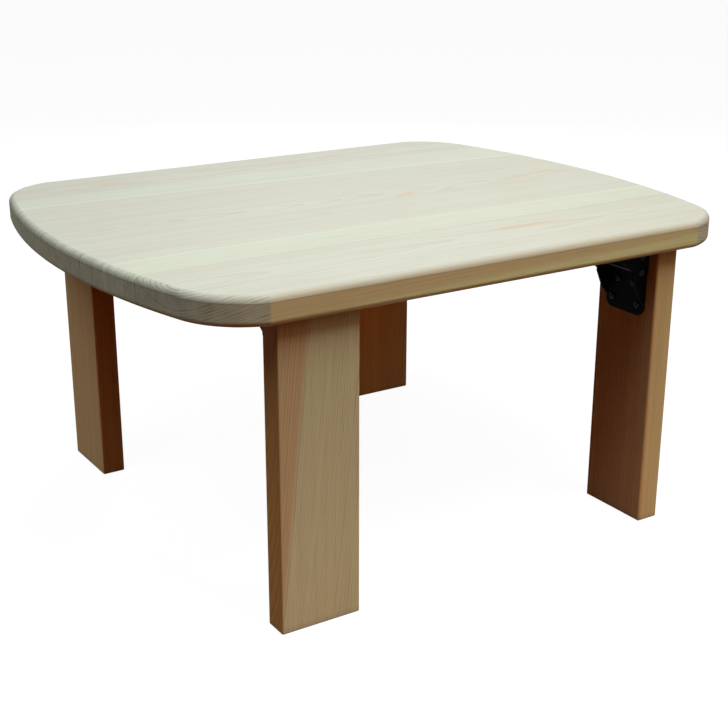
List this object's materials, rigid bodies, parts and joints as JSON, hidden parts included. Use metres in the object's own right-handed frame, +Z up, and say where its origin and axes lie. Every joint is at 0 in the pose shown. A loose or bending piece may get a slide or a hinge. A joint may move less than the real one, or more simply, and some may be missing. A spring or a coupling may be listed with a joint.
{
  "type": "folding low table",
  "caption": "Low rectangular tea table with bowed ends, of pale edge-glued boards, on plank legs that fold flat under the top on black steel locking brackets.",
  "frame": {"origin": "middle of the footprint on the floor", "axes": "+Z up, +X along the grain of the top, -Y towards the front straight edge"},
  "size_m": [0.715, 0.576, 0.355],
  "materials": {
    "top_wood": "satin",
    "leg_wood": "satin",
    "bracket_steel": "satin",
    "pin_steel": "satin",
    "screw_steel": "gloss",
    "spring_steel": "satin"
  },
  "bodies": {
    "table_top": {"front_board": "top_wood", "middle_board": "top_wood", "back_board": "top_wood", "front_left_base_plate": "bracket_steel", "front_left_base_screws": "screw_steel", "front_left_pivot_pin": "pin_steel", "front_left_lever_pin": "pin_steel", "front_left_lever_spring": "spring_steel", "front_right_base_plate": "bracket_steel", "front_right_base_screws": "screw_steel", "front_right_pivot_pin": "pin_steel", "front_right_lever_pin": "pin_steel", "front_right_lever_spring": "spring_steel", "back_right_base_plate": "bracket_steel", "back_right_base_screws": "screw_steel", "back_right_pivot_pin": "pin_steel", "back_right_lever_pin": "pin_steel", "back_right_lever_spring": "spring_steel", "back_left_base_plate": "bracket_steel", "back_left_base_screws": "screw_steel", "back_left_pivot_pin": "pin_steel", "back_left_lever_pin": "pin_steel", "back_left_lever_spring": "spring_steel"},
    "front_left_leg": {"front_left_leg": "leg_wood", "front_left_leg_plate": "bracket_steel", "front_left_leg_screws": "screw_steel"},
    "front_left_lever": {"front_left_lock_lever": "bracket_steel"},
    "front_right_leg": {"front_right_leg": "leg_wood", "front_right_leg_plate": "bracket_steel", "front_right_leg_screws": "screw_steel"},
    "front_right_lever": {"front_right_lock_lever": "bracket_steel"},
    "back_right_leg": {"back_right_leg": "leg_wood", "back_right_leg_plate": "bracket_steel", "back_right_leg_screws": "screw_steel"},
    "back_right_lever": {"back_right_lock_lever": "bracket_steel"},
    "back_left_leg": {"back_left_leg": "leg_wood", "back_left_leg_plate": "bracket_steel", "back_left_leg_screws": "screw_steel"},
    "back_left_lever": {"back_left_lock_lever": "bracket_steel"}
  },
  "joints": [
    {"name": "front_left_fold", "type": "hinge", "parent": "table_top", "child": "front_left_leg", "pos_m": [-0.206, -0.233, 0.299], "axis": [1, 0, 0], "range_deg": [0, 90]},
    {"name": "front_left_lock", "type": "hinge", "parent": "table_top", "child": "front_left_lever", "pos_m": [-0.206, -0.233, 0.317], "axis": [1, 0, 0], "range_deg": [-14, 0], "stiffness_Nm_per_rad": 0.35, "springref_deg": -34.38, "deforming": ["front_left_lever_spring"]},
    {"name": "front_right_fold", "type": "hinge", "parent": "table_top", "child": "front_right_leg", "pos_m": [0.211, -0.228, 0.299], "axis": [0, 1, 0], "range_deg": [0, 90]},
    {"name": "front_right_lock", "type": "hinge", "parent": "table_top", "child": "front_right_lever", "pos_m": [0.211, -0.228, 0.317], "axis": [0, 1, 0], "range_deg": [-14, 0], "stiffness_Nm_per_rad": 0.35, "springref_deg": -34.38, "deforming": ["front_right_lever_spring"]},
    {"name": "back_right_fold", "type": "hinge", "parent": "table_top", "child": "back_right_leg", "pos_m": [0.206, 0.233, 0.299], "axis": [-1, 0, 0], "range_deg": [0, 90]},
    {"name": "back_right_lock", "type": "hinge", "parent": "table_top", "child": "back_right_lever", "pos_m": [0.206, 0.233, 0.317], "axis": [-1, 0, 0], "range_deg": [-14, 0], "stiffness_Nm_per_rad": 0.35, "springref_deg": -34.38, "deforming": ["back_right_lever_spring"]},
    {"name": "back_left_fold", "type": "hinge", "parent": "table_top", "child": "back_left_leg", "pos_m": [-0.211, 0.228, 0.299], "axis": [0, -1, 0], "range_deg": [0, 90]},
    {"name": "back_left_lock", "type": "hinge", "parent": "table_top", "child": "back_left_lever", "pos_m": [-0.211, 0.228, 0.317], "axis": [0, -1, 0], "range_deg": [-14, 0], "stiffness_Nm_per_rad": 0.35, "springref_deg": -34.38, "deforming": ["back_left_lever_spring"]}
  ]
}
